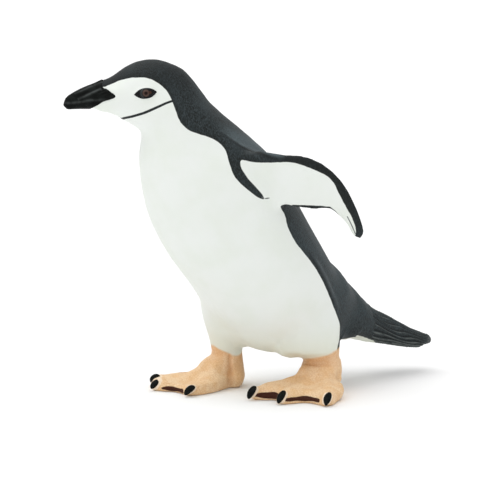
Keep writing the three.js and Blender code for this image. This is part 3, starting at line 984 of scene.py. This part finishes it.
def cutBill():
    # The front of the head and the bill in one shell, cut off a little behind the feathers' edge.
    bill = copyOfNodes(["head", "bill_upper", "bill_lower"], "bill")
    joinSolids(bill, billMake["grid"])
    modify(bill, "SMOOTH", factor=0.5, iterations=billMake["softenRounds"])
    forward, _, z = headFrame(getPoints(bill), turned=False)
    past = np.where(forward > 36, pastBillEdge(forward, z), farBehind)
    unwanted = past < -billMake["behind"]
    while unwanted.any():
        deletePoints(bill, unwanted)
        unwanted = pinchedPoints(bill)

    # Only the piece that holds the tip is kept.
    forward, _, _ = headFrame(getPoints(bill), turned=False)
    bill.data.vertices.foreach_set("select", forward == forward.max())
    bpy.ops.object.mode_set(mode="EDIT")
    bpy.ops.mesh.select_linked()
    bpy.ops.mesh.select_all(action="INVERT")
    bpy.ops.mesh.delete(type="VERT")
    bpy.ops.object.mode_set(mode="OBJECT")
    return bill


def sculptBill(bill):
    points, normals, edges = getPoints(bill), getNormals(bill), getEdges(bill)
    forward, side, z = headFrame(points, turned=False)
    past = pastBillEdge(forward, z)
    depth, half = billMake["grooveDepth"], billMake["grooveHalf"]
    outer = step(0.5, 1.1, np.abs(side))

    # A groove along the mouth and one along the upper bill, each with a soft ridge beside it.
    mouthAway, mouthAlong = lineDistance(forward, z, mouthLine)
    lift = -depth * bump(mouthAway, 0, half) * step(-1, -0.93, -mouthAlong)
    lift += 0.6 * depth * bump(z - heightOf(mouthLine, forward), 0.75, 0.4)
    upperAway, upperAlong = lineDistance(forward, z, upperLine)
    under = heightOf(upperLine, forward) - z
    fades = step(0, 0.2, upperAlong) * step(-1, -0.8, -upperAlong)
    lift += depth * fades * (0.55 * bump(under, 0.65, 0.4) - 0.9 * bump(upperAway, 0, half))
    lift -= billMake["roof"] * bump(forward, 43, 2.5) * step(0.1, 0.6, normals[:, 2])
    lift = lift * outer - billMake["sink"] * step(0.1, -0.3, past)
    points += normals * blurred(lift, edges, 2)[:, None]
    points[:, 2] -= billMake["droop"] * step(43, 46, forward)
    setPoints(bill, points)

    # Painted highlights on the enamel: along the ridges and the roof.
    above = points[:, 2] - heightOf(mouthLine, forward)
    shown = (upperAlong > 0.05) & (upperAlong < 0.97)
    roof = 0.7 * bump(under, -1.0, 0.2) * (forward > 42.5)
    ridgeHighlight = np.maximum(bump(under, 0.6, 0.28) * shown, roof)
    ridgeHighlight = np.maximum(ridgeHighlight, 0.75 * bump(above, 0.55, 0.25) * step(42, 44, forward))
    addAttribute(bill, "ridgeHighlight", outer * ridgeHighlight)


def closeBill(bill):
    # The open back is closed by a fan of faces round one point inside the head.
    makeActive(bill)
    bpy.ops.object.mode_set(mode="EDIT")
    bpy.ops.mesh.select_mode(type="EDGE")
    bpy.ops.mesh.select_all(action="DESELECT")
    bpy.ops.mesh.select_non_manifold()
    bpy.ops.mesh.extrude_edges_move()
    bpy.ops.mesh.merge(type="CENTER")
    bpy.ops.mesh.select_mode(type="VERT")
    bpy.ops.object.mode_set(mode="OBJECT")
    faceOutwards(bill)


# ridge: a painted highlight along the bill's ridges
billPaint = {"black": "131514", "worn": "1e2120", "ridgeHighlight": "4a4e4d"}


def billHorn():
    # Glossy black enamel over the moulded bill, with sharp small painted highlights along its ridges.
    material, tree, shader = newMaterial("glossBlackEnamel", 0.28, 0.03)
    tone = {name: linear(colour) for name, colour in billPaint.items()}
    wear = grain(tree, 1.4, 3, (0.4, 1, 1))
    ridgeHighlight = addNode(tree, "Attribute", output="Fac", attribute_name="ridgeHighlight")
    # Painted highlights along the ridges, broken up by the wear noise.
    edgeHighlight = addNode(tree, "times", ridgeHighlight, addNode(tree, "ramp", wear, 0.35, 0.6, 0.3, 0.85))
    worn = addNode(tree, "ramp", wear, 0.4, 0.75)
    colour = layered(tree, tone["black"], (worn, tone["worn"]), (edgeHighlight, tone["ridgeHighlight"]))
    tree.links.new(colour, shader.inputs["Base Color"])
    roughness = addNode(tree, "ramp", wear, 0.3, 0.7, 0.24, 0.36)
    tree.links.new(roughness, shader.inputs["Roughness"])
    tree.links.new(addNode(tree, "Bump", 0.2, 0.1 * mm, None, wear), shader.inputs["Normal"])
    return material


eyeMake = {
    "middle": (33.36, 75.4),  # forward and height
    "half": (2.75, 1.26),
    "fullness": 2.4,  # the higher, the blunter its corners
    "tilt": 7.5,  # degrees the back corner is raised
    "sink": 0.35,
    "rim": 0.2,
    "dome": 0.3,
    "domeRadius": 1.35,
    "outside": 14.0,  # a distance to the side that clears the head
    "iris": (33.3, 75.5, 0.82, 0.4),  # forward, height, and radius of the iris and of its dark centre
    "corner": (32.3, 75.65, 0.36),
}


def almondReach(angle):
    # From the middle of the eye to its edge, at an angle, found in ever smaller strides.
    length, height = eyeMake["half"]
    reach = np.full(len(angle), 0.5)
    stride = 0.5 * length
    for _ in range(30):
        across = np.minimum(np.abs(reach * np.cos(angle)) / length, 1)
        inside = np.abs(reach * np.sin(angle)) < height * (1 - across ** eyeMake["fullness"])
        inside &= reach * np.abs(np.cos(angle)) < length
        reach = reach + np.where(inside, stride, -stride)
        stride *= 0.7
    return reach


def makeEye(name, hand, skinTree):
    eye = newBall(name, 80, 48)
    ball = getPoints(eye)
    across, high, outward = ball.T
    radius = np.hypot(across, high)
    angle = np.arctan2(high, across)
    reach = almondReach(angle)
    tilt = math.radians(-eyeMake["tilt"])
    ahead = reach * radius * np.cos(angle)
    above = reach * radius * np.sin(angle)
    middle = eyeMake["middle"]
    forward = middle[0] + ahead * math.cos(tilt) - above * math.sin(tilt)
    z = middle[1] + ahead * math.sin(tilt) + above * math.cos(tilt)
    # Its front follows the cheek, which is found from a place outside it: a rim round a low dome.
    outside = eyeMake["outside"]
    start = fromHeadFrame(forward, np.full(len(forward), outside * hand), z)
    ends = fromHeadFrame(np.zeros(2), np.array([0, -1.0 * hand]), np.zeros(2))
    inwards = Vector(ends[1] - ends[0]).normalized()
    cheek = np.array([outside - skinTree.ray_cast(Vector(point), inwards)[3] for point in start])
    edgeAway = (1 - radius) * reach
    rim = eyeMake["rim"] * bump(edgeAway, 0.3, 0.2)
    irisForward, irisHeight, irisRadius, pupilRadius = eyeMake["iris"]
    away = np.hypot(forward - irisForward, z - irisHeight)
    dome = np.sqrt(np.clip(1 - (away / eyeMake["domeRadius"]) ** 2, 0, 1)) * step(0.1, 0.5, edgeAway)
    front = (0.03 + np.maximum(rim, eyeMake["dome"] * dome)) * step(0, 0.12, edgeAway)
    depth = np.where((outward >= -1e-6) & (radius < 0.999), front, -eyeMake["sink"])
    setPoints(eye, fromHeadFrame(forward, (cheek + depth) * hand, z))
    faceOutwards(eye)
    cornerForward, cornerHeight, cornerRadius = eyeMake["corner"]
    addAttribute(eye, "iris", irisRadius - away)
    addAttribute(eye, "pupil", pupilRadius - away)
    addAttribute(eye, "corner", cornerRadius - np.hypot(forward - cornerForward, z - cornerHeight))
    # A pale crescent on the dome in front of the iris, as a painted reflection.
    addAttribute(eye, "crescentReflection", bump(away, 1.15, 0.22) * step(0.3, 0.8, forward - irisForward))
    return eye


# crescent: a painted reflection on the eye's dome
eyePaint = {
    "black": "0c0d0d", "blackCloud": "131415", "iris": "59463e", "irisCloud": "402e28",
    "corner": "3d271d", "pupil": "1d100c", "crescentReflection": "565b5b",
}


def eyeEnamel():
    # Dots of enamel: a brown iris round a dark centre on black, under a clear gloss, with a pale
    # crescent of painted reflection in front of the iris.
    material, tree, shader = newMaterial("eyeEnamel", 0.22, 0.12)
    tone = {name: linear(colour) for name, colour in eyePaint.items()}
    names = ("iris", "corner", "pupil", "crescentReflection")
    marks = {name: addNode(tree, "Attribute", output="Fac", attribute_name=name) for name in names}
    mottle = grain(tree, 0.35, 2)
    colour = layered(
        tree, addNode(tree, "coat", mottle, tone["black"], tone["blackCloud"]),
        (
            addNode(tree, "ramp", marks["iris"], -0.1, 0.1),
            addNode(tree, "coat", mottle, tone["iris"], tone["irisCloud"]),
        ),
        (addNode(tree, "ramp", marks["corner"], -0.1, 0.1), tone["corner"]),
        (addNode(tree, "ramp", marks["pupil"], -0.12, 0.12), tone["pupil"]),
        (addNode(tree, "times", marks["crescentReflection"], 0.35), tone["crescentReflection"]),
    )
    tree.links.new(colour, shader.inputs["Base Color"])
    return material


clawMake = {
    "wide": 0.95,  # half width
    "thick": 0.78,
    "keel": 0.14,
    "narrows": 0.22,  # share of its width that is lost towards the point
    "curve": 0.25,  # how far both ends bend down
    "clear": 0.1,  # least height above the floor
}


def clawAxis(footName, angle, reach, height, inwards, pitch):
    # Middle of a claw and the direction in which it runs down to its point.
    foot = footAxes[footName]
    turns = [math.radians(foot["outward"] * (foot["turn"] + angle - less)) for less in (0, inwards)]
    fall = math.radians(pitch)
    place, ahead = (np.array([math.sin(turn), -math.cos(turn), 0]) for turn in turns)
    middle = np.array([*foot["ankle"], 0]) + reach * place + np.array([0, 0, height])
    return middle, ahead * math.cos(fall) - np.array([0, 0, math.sin(fall)])


def makeClaw(name, *place):
    middle, along = clawAxis(*place[:-1])
    long = place[-1]
    claw = newBall(name, 32, 24)
    across, ahead, rise = getPoints(claw).T
    keel = clawMake["keel"] * bump(across, 0, 0.3) * step(0.1, 0.7, rise)
    across = across * clawMake["wide"] * (1 - clawMake["narrows"] * step(0.1, 1, ahead))
    rise = rise * clawMake["thick"] + keel - clawMake["curve"] * ahead ** 2
    sideways = np.cross(along, (0, 0, 1))
    sideways = sideways / np.linalg.norm(sideways)
    outwards = np.cross(sideways, along)
    shape = middle + across[:, None] * sideways + (ahead * long)[:, None] * along
    shape = shape + rise[:, None] * outwards
    shape[:, 2] = np.maximum(shape[:, 2], clawMake["clear"])
    setPoints(claw, shape)
    bpy.ops.object.shade_smooth()
    return claw


view = {
    "azimuth": 57,
    "elevation": 8,
    "distance": 700,
    "aim": (0, -3, 42),
    "slide": (-3.68, -4.41),  # right and up from the aim to the middle of the picture
    "lens": 214.2,
}
light = {
    "sky": (0.72, 0.9),  # at the horizon and overhead
    "key": 1.33,
    "keyTurn": -32,  # degrees from straight ahead of the bird towards its left
    "keyHeight": 72,
    "keySoftness": 80,
}


def makeStage():
    deselectAll()
    bpy.ops.mesh.primitive_plane_add(size=8, location=(0, 0, -0.02 * mm))
    floor = bpy.context.active_object
    floor.name = "floor"
    bpy.ops.object.transform_apply(location=True, rotation=True, scale=True)
    material, _, shader = newMaterial("matSweep", 0.9, 0.1)
    shader.inputs["Base Color"].default_value = linear("f7f7f7")
    floor.data.materials.append(material)

    azimuth, elevation = math.radians(view["azimuth"]), math.radians(view["elevation"])
    back = Vector((
        math.sin(azimuth) * math.cos(elevation),
        -math.cos(azimuth) * math.cos(elevation),
        math.sin(elevation),
    ))
    right = Vector((math.cos(azimuth), math.sin(azimuth), 0))
    up = back.cross(right)
    slideRight, slideUp = view["slide"]
    place = Vector(view["aim"]) + view["distance"] * back + slideRight * right + slideUp * up
    cameraData = bpy.data.cameras.new("camera")
    cameraData.lens = view["lens"]
    cameraData.clip_end = 30
    camera = bpy.data.objects.new("camera", cameraData)
    bpy.context.scene.collection.objects.link(camera)
    turn = Matrix((right, up, back)).transposed().to_4x4()
    camera.matrix_world = Matrix.Translation(place * mm) @ turn
    bpy.context.scene.camera = camera

    world = bpy.data.worlds.new("paleRoom")
    world.use_nodes = True
    tree = world.node_tree
    sky = tree.nodes["Background"]
    sky.inputs["Color"].default_value = (1, 1, 1, 1)
    place = addNode(tree, "TexCoord", output="Generated")
    height = addNode(tree, "SeparateXYZ", place, output="Z")
    tree.links.new(addNode(tree, "MapRange", height, 0, 1, *light["sky"]), sky.inputs["Strength"])
    bpy.context.scene.world = world
    bpy.context.scene.view_settings.view_transform = "Standard"

    lampData = bpy.data.lights.new("softbox", "SUN")
    lampData.energy = light["key"]
    lampData.angle = math.radians(light["keySoftness"])
    lamp = bpy.data.objects.new("softbox", lampData)
    bpy.context.scene.collection.objects.link(lamp)
    turn, height = math.radians(light["keyTurn"]), math.radians(light["keyHeight"])
    towards = Vector((
        math.sin(turn) * math.cos(height),
        -math.cos(turn) * math.cos(height),
        math.sin(height),
    ))
    lamp.rotation_euler = towards.to_track_quat("Z", "Y").to_euler()


skin, skinEdges, partNames, skinOwner = makeSkin()
sculptSkin(skin, skinEdges, partNames, skinOwner)
skin.data.materials.append(paintedVinyl())
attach(skin, "root")
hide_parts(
    "trunk", "neck", "head", "tail", "flipper_left", "flipper_right", "leg_left", "leg_right",
    "foot_left", "foot_right",
)

skinFaces = [list(face.vertices) for face in skin.data.polygons]
skinTree = BVHTree.FromPolygons([Vector(point) for point in getPoints(skin)], skinFaces)

horn = billHorn()
bill = cutBill()
sculptBill(bill)
closeBill(bill)
bill.data.materials.append(horn)
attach(bill, "root")
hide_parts("bill_upper", "bill_lower")
say("bill made")

enamel = eyeEnamel()
for node, name, hand in (("eye_left", "eyeLeft", 1), ("eye_right", "eyeRight", -1)):
    eye = makeEye(name, hand, skinTree)
    eye.data.materials.append(enamel)
    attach(eye, "root")
    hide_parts(node)
say("eyes made")

for node, place in clawPlaces.items():
    words = node.split("_")
    claw = makeClaw(words[0] + words[1].title() + words[2].title(), *place)
    claw.data.materials.append(horn)
    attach(claw, "root")
    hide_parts(node)
say("claws made")

makeStage()
say("stage set")
